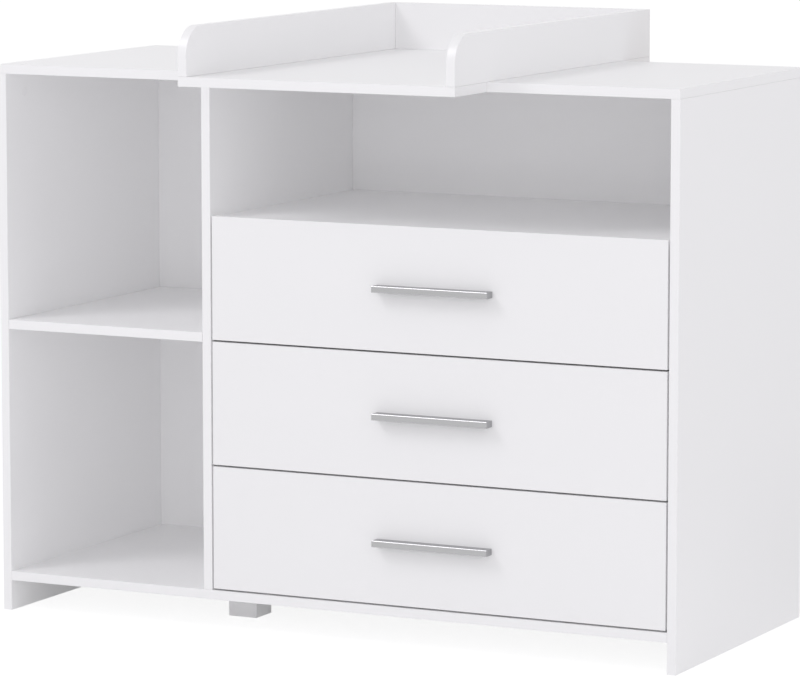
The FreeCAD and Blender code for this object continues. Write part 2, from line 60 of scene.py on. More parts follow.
AXES = "XYZ"
EVEN: Triple = (1.0, 1.0, 1.0)
WHITE: Colour = (1.0, 1.0, 1.0, 1.0)
COOL_WHITE: Colour = (0.997, 0.988, 1.015, 1.0)
BOARD_WHITE: Colour = (0.945, 0.944, 0.946, 1.0)
WELD_DISTANCE = 0.00001
SHARP_ANGLE = math.radians(40)
# An edge of a box touches two of its walls and an edge within a face only one, so the limit lies between.
BOX_EDGE_WALLS = 1.5
log = logging.getLogger("changing_dresser")


class BoardLie(Enum):
    """The axis that a board's thickness or a round fitting's length lies along."""

    ACROSS = "X"
    FACING = "Y"
    LEVEL = "Z"

    def place(self) -> int:
        """Gives the axis's place among X, Y and Z."""
        return AXES.index(self.value)

    def way(self, sign: float) -> Vector:
        """Gives the direction of length 1 along the axis that has the sign of a number."""
        return Vector([math.copysign(1.0, sign) if axis == self.value else 0.0 for axis in AXES])


class BareFace(Enum):
    """The face of a thin sheet that is left bare: the axis that it looks along, and which way."""

    REAR = (BoardLie.FACING, 1.0)
    UNDERSIDE = (BoardLie.LEVEL, -1.0)


class Slot(Enum):
    """The record's material slots, one of which each new piece keeps."""

    METAL = "satin_metal"
    ZINC = "zinc_plated_steel"
    PLASTIC = "white_plastic"


class DrawerName(Enum):
    """The drawers, from the lowest up."""

    BOTTOM = "bottom"
    MIDDLE = "middle"
    TOP = "top"


class EdgeChoice(Enum):
    """The edges of a piece that are rounded: every sharp bend, or those along its box's own edges."""

    BENDS = "ANGLE"
    BOX_EDGES = "WEIGHT"


class MixKind(Enum):
    """What a mix node mixes: the node's own word for it, and its sockets' word."""

    COLOURS = ("RGBA", "Color")
    NUMBERS = ("FLOAT", "Float")


@dataclass(frozen=True)
class Grain:
    """Noise that is fixed to a piece: features per metre, finer layers, and a scale along each axis."""

    scale: float
    layers: float
    stretch: Triple = EVEN


def emptied(owner: bpy.types.Material | bpy.types.World) -> bpy.types.NodeTree:
    """Empties the node tree of a material or world.

    Args:
        owner: The material or world.

    Returns:
        Its tree, with no node in it.
    """
    owner.use_nodes = True
    owner.node_tree.nodes.clear()
    return owner.node_tree


class Graph:
    """A node tree, with short ways to add and join nodes."""

    def __init__(self, tree: bpy.types.NodeTree) -> None:
        """Takes the tree to add to."""
        self.tree = tree

    def node(self, kind: str, **settings: object) -> bpy.types.Node:
        """Adds a node.

        Args:
            kind: The node's type.
            settings: Properties of the node, set by name.

        Returns:
            The new node.
        """
        made = self.tree.nodes.new(kind)
        for name, value in settings.items():
            setattr(made, name, value)
        return made

    def put(self, socket: bpy.types.NodeSocket, value: object) -> None:
        """Links an input to another node's output, or sets it to a constant.

        Args:
            socket: The input.
            value: The output or the constant.
        """
        if isinstance(value, bpy.types.NodeSocket):
            self.tree.links.new(value, socket)
        else:
            socket.default_value = value

    def feed(self, node: bpy.types.Node, **values: object) -> bpy.types.NodeOutputs:
        """Sets or links a node's inputs.

        Args:
            node: The node to feed.
            values: A constant or another node's output for each input, by name, with _ for a space.

        Returns:
            The node's outputs.
        """
        for name, value in values.items():
            self.put(node.inputs[name.replace("_", " ")], value)
        return node.outputs

    def join(self, kind: str, *values: object, **settings: object) -> bpy.types.NodeSocket:
        """Adds a node and sets or links its first inputs in order.

        Args:
            kind: The node's type.
            values: A constant or another node's output for each input.
            settings: Properties of the node, set by name.

        Returns:
            The node's first output.
        """
        node = self.node(kind, **settings)
        for socket, value in zip(node.inputs, values):
            self.put(socket, value)
        return node.outputs[0]

    def math(self, operation: str, *terms: object) -> bpy.types.NodeSocket:
        """Works out a sum of numbers and returns its result."""
        return self.join("ShaderNodeMath", *terms, operation=operation)

    def vectors(self, operation: str, *terms: object) -> bpy.types.NodeSocket:
        """Works out a sum of vectors and returns its result."""
        return self.join("ShaderNodeVectorMath", *terms, operation=operation)


class ModifierGraph(Graph):
    """A modifier's node tree, which takes a piece and gives it back changed."""

    def __init__(self, name: str) -> None:
        """Starts a tree whose own input is the piece.

        Args:
            name: The tree's name.
        """
        super().__init__(bpy.data.node_groups.new(name, "GeometryNodeTree"))
        for way in ("INPUT", "OUTPUT"):
            self.tree.interface.new_socket("Geometry", in_out=way, socket_type="NodeSocketGeometry")
        self.piece = self.node("NodeGroupInput").outputs[0]

    def give(self, piece: bpy.types.NodeSocket) -> bpy.types.NodeTree:
        """Ends the tree with the changed piece and returns it."""
        self.tree.links.new(piece, self.node("NodeGroupOutput").inputs[0])
        return self.tree


class StageGraph(Graph):
    """The node tree of the floor or the world, which may show the eye other than what lights the object."""

    def __init__(self, owner: bpy.types.Material | bpy.types.World) -> None:
        """Starts an empty tree for a material or world."""
        super().__init__(emptied(owner))

    def surface(self, kind: str, **values: object) -> bpy.types.NodeSocket:
        """Adds a shader with its inputs, by name, and returns its output."""
        return self.feed(self.node(kind), **values)[0]

    def show(self, output: str, lights: bpy.types.NodeSocket, shown: bpy.types.NodeSocket) -> None:
        """Ends the tree.

        Args:
            output: The type of the tree's output node.
            lights: The shader for the rays that carry light.
            shown: The shader for camera, glossy and transmission rays, which the eye follows.
        """
        path = self.node("ShaderNodeLightPath").outputs
        seen = path["Is Camera Ray"]
        for name in ("Is Glossy Ray", "Is Transmission Ray"):
            seen = self.math("MAXIMUM", seen, path[name])
        self.feed(self.node(output), Surface=self.join("ShaderNodeMixShader", seen, lights, shown))


class MaterialGraph(Graph):
    """A piece's material, with short ways to make its patterns."""

    def __init__(self, name: str) -> None:
        """Starts a material that holds only a principled shader and its output.

        Args:
            name: The material's name.
        """
        self.material = bpy.data.materials.new(name)
        super().__init__(emptied(self.material))
        self.grains: dict[Grain, bpy.types.NodeSocket] = {}
        self.shader = self.node("ShaderNodeBsdfPrincipled")
        self.feed(self.node("ShaderNodeOutputMaterial"), Surface=self.shader.outputs["BSDF"])

    def noise(self, grain: Grain) -> bpy.types.NodeSocket:
        """Adds a grain's noise.

        Args:
            grain: The grain.

        Returns:
            The noise's value, from 0 to 1, made at the grain's first call.
        """
        if grain not in self.grains:
            place = self.node("ShaderNodeTexCoord").outputs["Object"]
            scaled = self.feed(self.node("ShaderNodeMapping"), Vector=place, Scale=grain.stretch)
            noise = self.node("ShaderNodeTexNoise")
            made = self.feed(noise, Vector=scaled["Vector"], Scale=grain.scale, Detail=grain.layers)
            self.grains[grain] = made["Fac"]
        return self.grains[grain]

    def between(self, factor: bpy.types.NodeSocket, low: float, high: float) -> bpy.types.NodeSocket:
        """Maps a value from 0 to 1 onto another range.

        Args:
            factor: The value.
            low: What 0 becomes.
            high: What 1 becomes.

        Returns:
            The mapped value.
        """
        mapped = self.feed(self.node("ShaderNodeMapRange"), Value=factor, To_Min=low, To_Max=high)
        return mapped["Result"]

    def mix(self, kind: MixKind, factor: bpy.types.NodeSocket, *ends: object) -> bpy.types.NodeSocket:
        """Mixes two colours or two numbers.

        Args:
            kind: What is mixed.
            factor: How much of the second end shows, from 0 to 1.
            ends: The two colours or numbers, each a constant or another node's output.

        Returns:
            The mixed colour or number.
        """
        data, word = kind.value
        mix = self.node("ShaderNodeMix", data_type=data)
        sockets = {socket.identifier: socket for socket in (*mix.inputs, *mix.outputs)}
        for name, value in zip(("Factor_Float", f"A_{word}", f"B_{word}"), (factor, *ends)):
            self.put(sockets[name], value)
        return sockets[f"Result_{word}"]

    def tint(self, factor: bpy.types.NodeSocket, first: object, second: object) -> bpy.types.NodeSocket:
        """Mixes two colours, with as much of the second as the factor says."""
        return self.mix(MixKind.COLOURS, factor, first, second)

    def blend(self, factor: bpy.types.NodeSocket, first: object, second: object) -> bpy.types.NodeSocket:
        """Mixes two numbers, with as much of the second as the factor says."""
        return self.mix(MixKind.NUMBERS, factor, first, second)

    def bump(self, height: bpy.types.NodeSocket, strength: float, depth: float) -> bpy.types.NodeSocket:
        """Turns a height into a normal.

        Args:
            height: The height, from 0 to 1.
            strength: How much of the bump shows, from 0 to 1.
            depth: The height's size in metres.

        Returns:
            The bumped normal.
        """
        bump = self.feed(self.node("ShaderNodeBump"), Height=height, Strength=strength, Distance=depth)
        return bump["Normal"]

    def facing(self, lie: BoardLie) -> bpy.types.NodeSocket:
        """Gives the surface normal's share along an axis, from -1 to 1."""
        normal = self.node("ShaderNodeNewGeometry").outputs["Normal"]
        return self.feed(self.node("ShaderNodeSeparateXYZ"), Vector=normal)[lie.value]


class Finish(Protocol):
    """What a piece is dressed with."""

    def material(self) -> bpy.types.Material:
        """Makes the finish's material."""


@dataclass(frozen=True)
class MelamineFinish:
    """Satin white melamine on a board's two faces, with smooth banding round its edges."""

    lie: BoardLie
    name: str = "white_melamine"
    pale: Colour = BOARD_WHITE
    deep: Colour = (0.933, 0.932, 0.934, 1.0)
    band: Colour = (0.92, 0.919, 0.921, 1.0)
    clouds: Grain = Grain(scale=2.5, layers=3.0)
    pearl: Grain = Grain(scale=900.0, layers=1.0)
    pearl_depth: float = 0.00006
    pearl_strength: float = 0.25
    smooth: float = 0.38
    rough: float = 0.5
    band_smooth: float = 0.3
    edge_share: float = 0.7

    def material(self) -> bpy.types.Material:
        """Makes the board's material.

        Returns:
            The material.
        """
        graph = MaterialGraph(f"{self.name}_{self.lie.name.lower()}")
        clouds = graph.noise(self.clouds)
        edge = graph.math("LESS_THAN", graph.math("ABSOLUTE", graph.facing(self.lie)), self.edge_share)
        face = graph.tint(clouds, self.deep, self.pale)
        satin = graph.between(clouds, self.smooth, self.rough)
        graph.feed(
            graph.shader,
            Base_Color=graph.tint(edge, face, self.band),
            Roughness=graph.blend(edge, satin, self.band_smooth),
            Normal=graph.bump(graph.noise(self.pearl), self.pearl_strength, self.pearl_depth),
        )
        return graph.material


@dataclass(frozen=True)
class FrontFinish(MelamineFinish):
    """The melamine of the drawer fronts, a shade deeper than the carcass's."""

    lie: BoardLie = BoardLie.FACING
    name: str = "white_front_melamine"
    pale: Colour = (0.91, 0.909, 0.911, 1.0)
    deep: Colour = (0.898, 0.897, 0.899, 1.0)


@dataclass(frozen=True)
class HardboardFinish:
    """Thin hardboard: white lacquer on the side that shows, bare brown fibre on the other face."""

    bare: BareFace
    lacquer_pale: Colour = BOARD_WHITE
    lacquer_deep: Colour = (0.93, 0.929, 0.931, 1.0)
    fibre_pale: Colour = (0.40, 0.27, 0.165, 1.0)
    fibre_deep: Colour = (0.24, 0.15, 0.085, 1.0)
    clouds: Grain = Grain(scale=4.0, layers=3.0)
    fibre: Grain = Grain(scale=260.0, layers=4.0, stretch=(1.0, 1.0, 0.35))
    fibre_depth: float = 0.0002
    fibre_strength: float = 0.35
    fleck_low: float = -0.6
    fleck_high: float = 2.2
    smooth: float = 0.45
    rough: float = 0.75
    bare_share: float = 0.3

    def material(self) -> bpy.types.Material:
        """Makes the sheet's material.

        Returns:
            The material.
        """
        lie, way = self.bare.value
        graph = MaterialGraph(f"thin_hardboard_{lie.value.lower()}")
        clouds = graph.noise(self.clouds)
        fibre = graph.noise(self.fibre)
        bare = graph.math("GREATER_THAN", graph.math("MULTIPLY", graph.facing(lie), way), self.bare_share)
        lacquer = graph.tint(clouds, self.lacquer_deep, self.lacquer_pale)
        fleck = graph.between(graph.math("MULTIPLY", fibre, clouds), self.fleck_low, self.fleck_high)
        brown = graph.tint(fleck, self.fibre_deep, self.fibre_pale)
        graph.feed(
            graph.shader,
            Base_Color=graph.tint(bare, lacquer, brown),
            Roughness=graph.between(bare, self.smooth, self.rough),
            Normal=graph.bump(graph.math("MULTIPLY", fibre, bare), self.fibre_strength, self.fibre_depth),
        )
        return graph.material


@dataclass(frozen=True)
class GrainedFinish:
    """One substance all over, whose colour, sheen and relief each follow a grain."""

    name: str
    pale: Colour
    deep: Colour
    smooth: float
    rough: float
    colouring: Grain
    sheen: Grain
    relief: Grain
    relief_depth: float
    relief_strength: float
    metallic: float = 0.0
    glancing: Colour = WHITE

    def material(self) -> bpy.types.Material:
        """Makes the substance's material.

        Returns:
            The material.
        """
        graph = MaterialGraph(self.name)
        graph.feed(
            graph.shader,
            Base_Color=graph.tint(graph.noise(self.colouring), self.deep, self.pale),
            Metallic=self.metallic,
            Roughness=graph.between(graph.noise(self.sheen), self.smooth, self.rough),
            Specular_Tint=self.glancing,
            Normal=graph.bump(graph.noise(self.relief), self.relief_strength, self.relief_depth),
        )
        return graph.material


@dataclass(frozen=True)
class SatinMetalFinish(GrainedFinish):
    """Satin grey metal, brushed along the handle."""

    name: str = "satin_handle_metal"
    pale: Colour = (0.49, 0.49, 0.497, 1.0)
    deep: Colour = (0.41, 0.41, 0.417, 1.0)
    smooth: float = 0.2
    rough: float = 0.3
    colouring: Grain = Grain(scale=1400.0, layers=3.0, stretch=(0.012, 1.0, 1.0))
    sheen: Grain = colouring
    relief: Grain = colouring
    relief_depth: float = 0.00004
    relief_strength: float = 0.3
    metallic: float = 1.0
    glancing: Colour = (0.82, 0.82, 0.83, 1.0)


@dataclass(frozen=True)
class ZincFinish(GrainedFinish):
    """Bright zinc plating on rolled steel, with a cloudy spangle and fine drawing lines."""

    name: str = "zinc_plated_steel"
    pale: Colour = (0.72, 0.73, 0.74, 1.0)
    deep: Colour = (0.55, 0.56, 0.58, 1.0)
    smooth: float = 0.28
    rough: float = 0.46
    colouring: Grain = Grain(scale=90.0, layers=2.0)
    sheen: Grain = colouring
    relief: Grain = Grain(scale=900.0, layers=2.0, stretch=(1.0, 0.02, 1.0))
    relief_depth: float = 0.00003
    relief_strength: float = 0.25
    metallic: float = 1.0


@dataclass(frozen=True)
class PlasticFinish(GrainedFinish):
    """White moulded plastic with a fine spark-eroded texture."""

    name: str = "white_moulded_plastic"
    pale: Colour = (0.935, 0.934, 0.936, 1.0)
    deep: Colour = (0.91, 0.909, 0.911, 1.0)
    smooth: float = 0.38
    rough: float = 0.5
    colouring: Grain = Grain(scale=30.0, layers=2.0)
    sheen: Grain = Grain(scale=1500.0, layers=2.0)
    relief: Grain = sheen
    relief_depth: float = 0.00008
    relief_strength: float = 0.3


@dataclass(frozen=True)
class BeechFinish(GrainedFinish):
    """Bare beech dowel, with fine pores."""

    name: str = "bare_beech"
    pale: Colour = (0.58, 0.36, 0.19, 1.0)
    deep: Colour = (0.43, 0.25, 0.12, 1.0)
    smooth: float = 0.55
    rough: float = 0.75
    colouring: Grain = Grain(scale=700.0, layers=4.0, stretch=(0.15, 0.15, 0.15))
    sheen: Grain = colouring
    relief: Grain = colouring
    relief_depth: float = 0.0001
    relief_strength: float = 0.4


class Palette:
    """Every finish's material, each made once."""

    def __init__(self) -> None:
        """Starts with no material made."""
        self.made: dict[Finish, bpy.types.Material] = {}

    def of(self, finish: Finish) -> bpy.types.Material:
        """Gives a finish's material.

        Args:
            finish: A finish, such as MelamineFinish.

        Returns:
            The material, made at the first call.
        """
        if finish not in self.made:
            self.made[finish] = finish.material()
        return self.made[finish]

    def dress(self, finish: Finish, *nodes: str) -> None:
        """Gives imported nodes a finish.

        Args:
            finish: The finish.
            nodes: The nodes' names.
        """
        for name in nodes:
            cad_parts[name].material_slots[0].material = self.of(finish)
            log.info("dressed %s with %s", name, type(finish).__name__)


@cache
def smooth_shading() -> bpy.types.NodeTree:
    """Gives the modifier tree that shades a piece smoothly except across sharp edges.

    Returns:
        The tree, made at the first call.
    """
    graph = ModifierGraph("smooth_shading")
    angle = graph.node("GeometryNodeInputMeshEdgeAngle").outputs["Unsigned Angle"]
    sharp = graph.math("GREATER_THAN", angle, SHARP_ANGLE)
    faces = graph.feed(graph.node("GeometryNodeSetShadeSmooth"), Geometry=graph.piece)
    creases = graph.node("GeometryNodeSetShadeSmooth", domain="EDGE")
    return graph.give(graph.feed(creases, Geometry=faces[0], Selection=sharp, Shade_Smooth=False)[0])


@cache
def box_edges() -> bpy.types.NodeTree:
    """Gives the modifier tree that marks the edges of a piece that lie along its box's own edges.

    Returns:
        The tree, made at the first call.
    """
    graph = ModifierGraph("box_edges")
    ends = graph.node("GeometryNodeInputMeshEdgeVertices").outputs
    box = graph.feed(graph.node("GeometryNodeBoundBox"), Geometry=graph.piece)
    others = (ends["Position 2"], box["Min"], box["Max"])
    apart = [graph.vectors("SUBTRACT", ends["Position 1"], other) for other in others]
    length, to_low, to_high = (graph.vectors("ABSOLUTE", step) for step in apart)
    furthest = graph.vectors("MAXIMUM", length, graph.vectors("MINIMUM", to_low, to_high))
    shares = graph.feed(graph.node("ShaderNodeSeparateXYZ"), Vector=furthest)
    across, along, up = (graph.math("LESS_THAN", share, WELD_DISTANCE) for share in shares)
    walls = graph.math("ADD", graph.math("ADD", across, along), up)
    marked = graph.node("GeometryNodeStoreNamedAttribute", data_type="FLOAT", domain="EDGE")
    weight = graph.math("GREATER_THAN", walls, BOX_EDGE_WALLS)
    return graph.give(graph.feed(marked, Geometry=graph.piece, Name="bevel_weight_edge", Value=weight)[0])


@dataclass(frozen=True)
class EdgeEasing:
    """The small rounding along a piece's sharp edges. Its angles are in radians."""

    width: float
    segments: int = 2
    edges: EdgeChoice = EdgeChoice.BOX_EDGES
    bend_angle: float = math.radians(30)
    flat_angle: float = math.radians(0.5)

    def ease(self, *nodes: str) -> None:
        """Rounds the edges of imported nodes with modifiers, so that their own meshes stay as they are.

        Args:
            nodes: The nodes' names.
        """
        for name in nodes:
            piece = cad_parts[name]
            piece.modifiers.new("weld", "WELD").merge_threshold = WELD_DISTANCE
            flatten = piece.modifiers.new("flatten", "DECIMATE")
            flatten.decimate_type = "DISSOLVE"
            flatten.angle_limit = self.flat_angle
            self.round(piece)

    def round(self, piece: bpy.types.Object) -> None:
        """Rounds the edges of a piece whose mesh has no doubled corners.

        Args:
            piece: The piece.
        """
        if self.edges is EdgeChoice.BOX_EDGES:
            piece.modifiers.new("mark", "NODES").node_group = box_edges()
        bevel = piece.modifiers.new("ease", "BEVEL")
        bevel.width = self.width
        bevel.segments = self.segments
        bevel.limit_method = self.edges.value
        bevel.loop_slide = False
        bevel.angle_limit = self.bend_angle
        piece.modifiers.new("shade", "NODES").node_group = smooth_shading()
        piece.modifiers.new("even", "WEIGHTED_NORMAL").keep_sharp = True


BOARD_EDGE = EdgeEasing(width=0.0007)


@dataclass(frozen=True)
class Solid:
    """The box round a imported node, or round one of its separate solids."""

    low: Vector
    high: Vector

    def size(self) -> Vector:
        """Gives the box's length along each axis."""
        return self.high - self.low

    def middle(self) -> Vector:
        """Gives the box's middle."""
        return (self.low + self.high) / 2

    def end(self, way: Vector) -> Vector:
        """Gives the middle of the box's face on the side of a direction of length 1 along an axis."""
        half = self.size() / 2
        return self.middle() + Vector([step * reach for step, reach in zip(way, half)])

    def rod(self) -> tuple[BoardLie, float, float]:
        """Takes the box as that of a round rod, which has two equal sides.

        Returns:
            The axis along the rod's length, its radius and its length.
        """
        size = tuple(self.size())
        lie = min(BoardLie, key=lambda lie: abs(size[lie.place() - 1] - size[lie.place() - 2]))
        return lie, size[lie.place() - 1] / 2, size[lie.place()]


def box_of(node: str) -> Solid:
    """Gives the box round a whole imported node."""
    low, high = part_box(node)
    return Solid(Vector(low), Vector(high))


def solids_of(node: str) -> list[Solid]:
    """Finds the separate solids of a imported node.

    Args:
        node: The node's name.

    Returns:
        Their boxes, sorted by place.
    """
    mesh = bmesh.new()
    mesh.from_mesh(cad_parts[node].data)
    bmesh.ops.remove_doubles(mesh, verts=mesh.verts, dist=WELD_DISTANCE)
    mesh.verts.index_update()
    seen: set[int] = set()
    found = []
    for start in mesh.verts:
        if start.index in seen:
            continue
        seen.add(start.index)
        waiting = [start]
        corners = []
        while waiting:
            corner = waiting.pop()
            corners.append(corner.co.copy())
            for edge in corner.link_edges:
                other = edge.other_vert(corner)
                if other.index not in seen:
                    seen.add(other.index)
                    waiting.append(other)
        low, high = (Vector([pick(values) for values in zip(*corners)]) for pick in (min, max))
        found.append(Solid(low, high))
    mesh.free()
    return sorted(found, key=lambda solid: tuple(solid.low))


def outward(solid: Solid, lie: BoardLie, boards: tuple[str, ...]) -> Vector:
    """Finds which face of its board a fitting shows in.

    Args:
        solid: The fitting's box.
        lie: The axis that the fitting lies along.
        boards: The nodes of the boards that may hold it.

    Returns:
        The direction out of the board, of length 1.
    """
    place = lie.place()
    middle = solid.middle()
    holders = []
    for board in map(box_of, boards):
        inside = [low <= at <= high for low, at, high in zip(board.low, middle, board.high)]
        inside.pop(place)
        if all(inside):
            holders.append(board.middle()[place])
    nearest = min(holders, key=lambda held: abs(held - middle[place]))
    return lie.way(middle[place] - nearest)


@dataclass(frozen=True)
class CrossRecess:
    """The cross that a driver turns, sunk in a fitting's face."""

    span: float
    width: float
    depth: float
    floor_share: float = 0.6
    arms: int = 4

    def outline(self, scale: float, level: float) -> list[Vector]:
        """Gives the cross's corners.

        Args:
            scale: How large the cross is, as a share of its size at the face.
            level: Its height above the face.

        Returns:
            Three points to each arm, in order round the middle.
        """
        arm = self.span / 2 * scale
        half = self.width / 2 * scale
        corners = (Vector((arm, -half, level)), Vector((arm, half, level)), Vector((half, half, level)))
        turns = [Matrix.Rotation(math.tau / self.arms * turn, 3, "Z") for turn in range(self.arms)]
        return [turn @ corner for turn in turns for corner in corners]


CAM_CROSS = CrossRecess(span=0.009, width=0.0022, depth=0.004)


@dataclass(frozen=True)
class TurnedFitting:
    """A small turned fitting: rings from its face down its length, each a radius and a depth."""

    rings: Rings
    recess: CrossRecess | None = None
    sides: int = 32

    def add(self, mesh: bmesh.types.BMesh, place: Matrix) -> None:
        """Adds the fitting to a mesh.

        Args:
            mesh: The mesh to add to.
            place: Where the middle of its face is, with Z out of the face.
        """
        turns = [math.tau * side / self.sides for side in range(self.sides)]
        count = len(mesh.faces)
        loops = []
        for radius, depth in self.rings:
            points = [Vector((radius * math.cos(turn), radius * math.sin(turn), -depth)) for turn in turns]
            loops.append([mesh.verts.new(place @ point) for point in points])
        for upper, lower in zip(loops, loops[1:]):
            self.wall(mesh, upper, lower)
        bottom = mesh.faces.new(loops[-1][::-1])
        if self.recess is None:
            mesh.faces.new(loops[0])
        else:
            self.sink(mesh, place, loops[0])
        mesh.faces.ensure_lookup_table()
        faces = mesh.faces[count:]
        bmesh.ops.recalc_face_normals(mesh, faces=faces)
        bottom.normal_update()
        if bottom.normal.dot(place.to_3x3() @ BoardLie.LEVEL.way(1.0)) > 0:
            bmesh.ops.reverse_faces(mesh, faces=faces)

    def wall(self, mesh: bmesh.types.BMesh, upper: Loop, lower: Loop) -> None:
        """Joins two loops of corners with a band of faces.

        Args:
            mesh: The mesh to add to.
            upper: The loop nearer the face.
            lower: The loop further down.
        """
        for here in range(len(upper)):
            after = (here + 1) % len(upper)
            mesh.faces.new((upper[here], lower[here], lower[after], upper[after]))

    def sink(self, mesh: bmesh.types.BMesh, place: Matrix, rim: Loop) -> None:
        """Closes the face round its cross.

        Args:
            mesh: The mesh to add to.
            place: Where the middle of the face is.
            rim: The corners round the face.
        """
        above = self.recess.outline(scale=1.0, level=0.0)
        below = self.recess.outline(self.recess.floor_share, -self.recess.depth)
        mouth, floor = ([mesh.verts.new(place @ point) for point in points] for points in (above, below))
        edges = []
        for loop in (rim, mouth):
            for first, second in zip(loop, loop[1:] + loop[:1]):
                edges.append(mesh.edges.get((first, second)) or mesh.edges.new((first, second)))
        bmesh.ops.triangle_fill(mesh, edges=edges, use_beauty=True)
        self.wall(mesh, mouth[::-1], floor[::-1])
        mesh.faces.new(floor)


def scaled_rings(shares: Rings, radius: float, length: float) -> Rings:
    """Gives rings whose radii and depths are shares of a radius and a length."""
    return tuple((radius * across, length * down) for across, down in shares)


def eased_rod(radius: float, length: float, ease: float, steps: int = 3) -> Rings:
    """Gives the rings of a rod whose two rims are rounded.

    Args:
        radius: The rod's radius.
        length: Its length.
        ease: The radius of the rounding.
        steps: How many bands the rounding has.

    Returns:
        The rings, each a radius and a depth.
    """
    turns = [math.pi / 2 * step / steps for step in range(steps + 1)]
    near = [(radius - ease * (1 - math.sin(turn)), ease * (1 - math.cos(turn))) for turn in turns]
    far = [(ring, length - depth) for ring, depth in reversed(near)]
    return (*near, *far)


@dataclass(frozen=True)
class PanScrew:
    """A screw with a domed head: the head's radius and height, the whole length and the shank's radius."""

    head: float
    height: float
    length: float
    shank: float = 0.002
    crown_shares: Rings = ((0.62, 0.0), (0.78, 0.06), (0.91, 0.22), (0.98, 0.45), (1.0, 0.7), (1.0, 1.0))

    def rings(self) -> Rings:
        """Works out the screw's rings.

        Returns:
            The rings, each a radius and a depth.
        """
        crown = scaled_rings(self.crown_shares, self.head, self.height)
        shank = ((self.shank, self.height), (self.shank, self.length - self.shank))
        return (*crown, *shank, (self.shank / 2, self.length))


@dataclass
class NewPiece:
    """A piece that scene.py makes: its name, its body, a record slot that is not used, and its mesh."""

    name: str
    body: str
    slot: Slot
    mesh: bmesh.types.BMesh = field(default_factory=bmesh.new)

    def build(self, material: bpy.types.Material, *nodes: str) -> bpy.types.Object:
        """Makes the piece, which uses up the mesh.

        Args:
            material: What it is dressed with.
            nodes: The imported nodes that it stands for, if any.

        Returns:
            The piece's object.
        """
        data = bpy.data.meshes.new(self.name)
        self.mesh.to_mesh(data)
        self.mesh.free()
        piece = bpy.data.objects.new(self.name, data)
        bpy.context.scene.collection.objects.link(piece)
        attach(piece, self.body)
        if nodes:
            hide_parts(*nodes)
        data.materials.append(material)
        log.info("built %s on %s", self.name, self.body)
        return piece


@dataclass
class FittingSet(NewPiece):
    """One piece made of several small fittings, whose rods have rounded rims."""

    rim: float = 0.0004

    def add(self, fitting: TurnedFitting, point: Vector, way: Vector) -> None:
        """Adds a fitting.

        Args:
            fitting: The fitting.
            point: The middle of its face.
            way: The direction that its face looks in.
        """
        turned = way.to_track_quat("Z", "Y").to_matrix().to_4x4()
        fitting.add(self.mesh, Matrix.Translation(point) @ turned)

    def add_rod(self, solid: Solid, boards: tuple[str, ...], recess: CrossRecess | None = None) -> None:
        """Adds a round rod in the place of a plain one, with its face in that of its board.

        Args:
            solid: The plain rod's box.
            boards: The nodes of the boards that may hold it.
            recess: The cross in its face, if it has one.
        """
        lie, radius, length = solid.rod()
        way = outward(solid, lie, boards)
        self.add(TurnedFitting(eased_rod(radius, length, self.rim), recess), solid.end(way), way)

    def build(self, material: bpy.types.Material, *nodes: str) -> bpy.types.Object:
        """Makes the piece, smooth except across its sharp edges.

        Args:
            material: What it is dressed with.
            nodes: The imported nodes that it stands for, if any.

        Returns:
            The piece's object.
        """
        piece = super().build(material, *nodes)
        piece.data.shade_smooth()
        piece.data.set_sharp_from_angle(angle=SHARP_ANGLE)
        return piece


@dataclass
class Cabinet:
    """The fixed carcass: its boards, back sheets, feet and fittings."""

    palette: Palette
    board_edge: EdgeEasing = BOARD_EDGE
    foot_edge: EdgeEasing = EdgeEasing(width=0.0015, segments=3, edges=EdgeChoice.BENDS)
    body: str = "cabinet"
    across: tuple[str, ...] = ("left_side_panel", "right_side_panel", "divider_panel")
    level: tuple[str, ...] = ("top_panel", "bottom_panel", "left_shelf", "niche_shelf")
    sheets: tuple[str, ...] = ("back_panel_left", "back_panel_right")
    feet: tuple[str, ...] = ("front_centre_foot", "rear_centre_foot")

    def build(self) -> None:
        """Dresses the boards and sheets and builds the fittings."""
        self.palette.dress(MelamineFinish(BoardLie.ACROSS), *self.across)
        self.palette.dress(MelamineFinish(BoardLie.LEVEL), *self.level)
        self.board_edge.ease(*self.across, *self.level)
        self.palette.dress(HardboardFinish(BareFace.REAR), *self.sheets)
        self.palette.dress(PlasticFinish(), *self.feet, "back_joining_strip")
        self.foot_edge.ease(*self.feet)
        self.palette.dress(ZincFinish(), "carcass_cam_bolts")
        self.palette.dress(BeechFinish(), "carcass_dowels")
        self.build_fittings("carcass_cams", Slot.ZINC, ZincFinish(), CAM_CROSS)
        for node in ("cam_covers", "shelf_pins"):
            self.build_fittings(node, Slot.PLASTIC, PlasticFinish())

    def build_fittings(self, node: str, slot: Slot, finish: Finish,
                       recess: CrossRecess | None = None) -> None:
        """Builds round fittings in the places of a node's plain ones.

        Args:
            node: The node that they stand for.
            slot: The record's slot kept with their piece, which is not used.
            finish: Their finish.
            recess: The cross in their faces, if they have one.
        """
        fittings = FittingSet(f"round_{node}", self.body, slot)
        for solid in solids_of(node):
            fittings.add_rod(solid, (*self.across, *self.level), recess)
        fittings.build(self.palette.of(finish), node)


